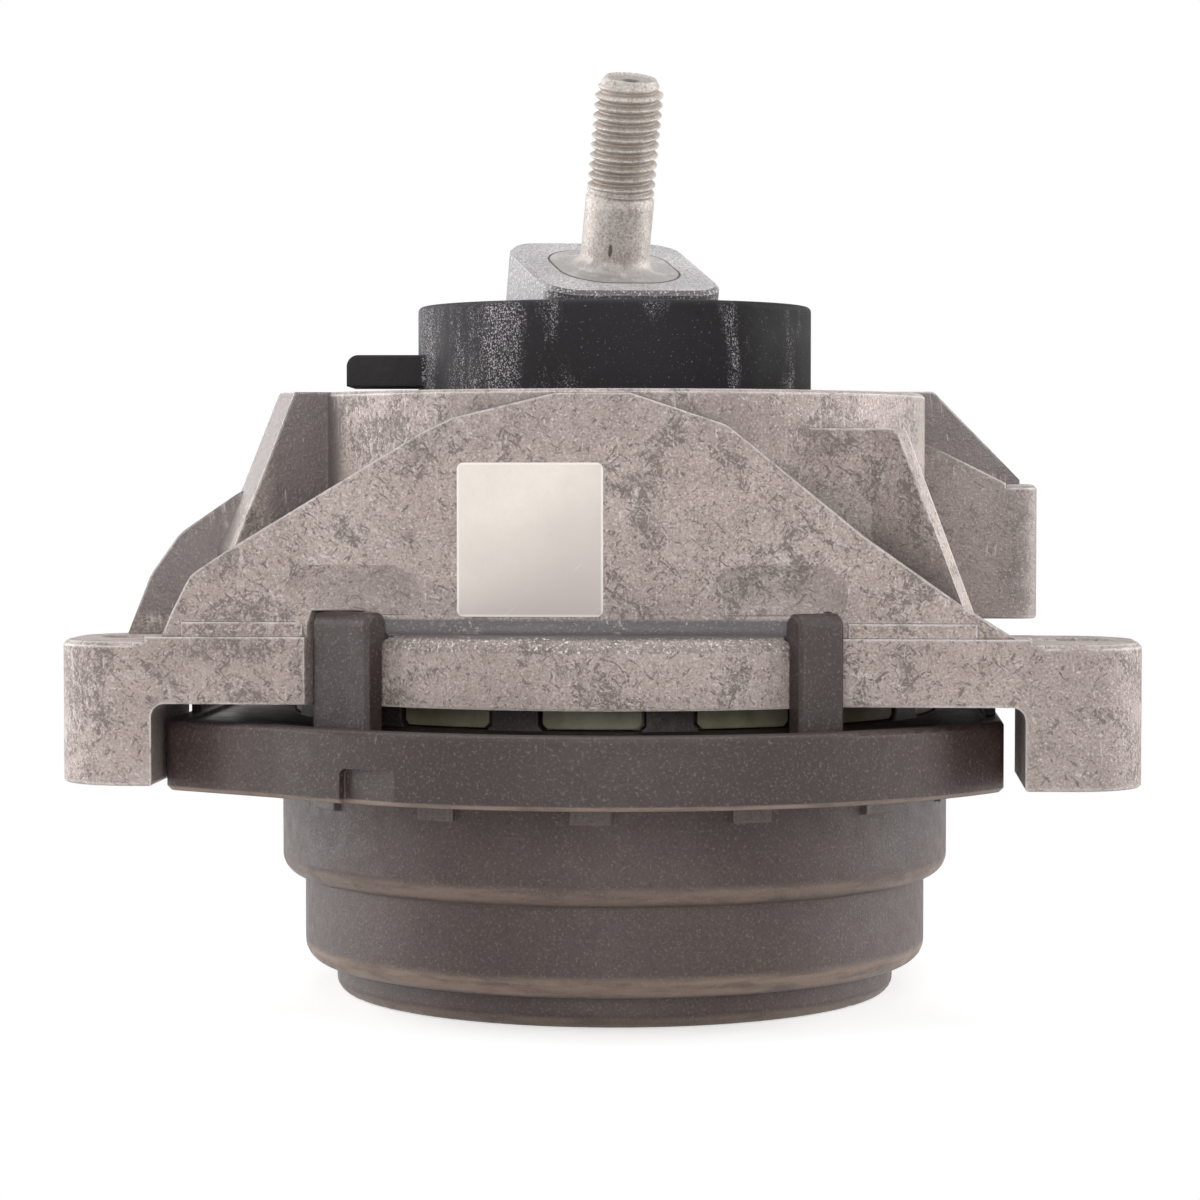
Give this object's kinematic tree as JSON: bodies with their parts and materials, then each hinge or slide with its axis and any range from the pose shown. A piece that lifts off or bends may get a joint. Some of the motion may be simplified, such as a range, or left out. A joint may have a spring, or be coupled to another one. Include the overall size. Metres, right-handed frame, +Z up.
{
  "type": "engine mount",
  "caption": "Hydraulic engine mount: ribbed die-cast housing with bolt ears, clipped plastic cup, rubber body and tilted core with a threaded stud.",
  "frame": {"origin": "centre of the flat bottom of the cup", "axes": "+X along the line of the two front ears, -Y towards the ribbed front face, +Z up to the stud"},
  "size_m": [0.177, 0.156, 0.16],
  "materials": {
    "cast_aluminium": "die-cast, blotched and lightly tarnished",
    "filled_plastic": "glass-filled, fine speckle, dusty",
    "black_rubber": "matt with a white bloom",
    "core_aluminium": "satin, sparkling",
    "zinc_steel": "dull zinc, tan in the thread",
    "ring_steel": "phosphated",
    "plate_aluminium": "pressed",
    "pale_nylon": "natural nylon",
    "label_film": "blank, faint scratches"
  },
  "bodies": {
    "root": {"housing": "cast_aluminium", "bottom_cover": "filled_plastic", "core": "core_aluminium", "stud": "zinc_steel", "spring_ring": "ring_steel", "main_spring": "black_rubber", "upper_channel_plate": "plate_aluminium", "lower_channel_plate": "pale_nylon", "decoupler_disc": "black_rubber", "diaphragm": "black_rubber", "diaphragm_ring": "ring_steel", "label": "label_film"}
  },
  "joints": []
}
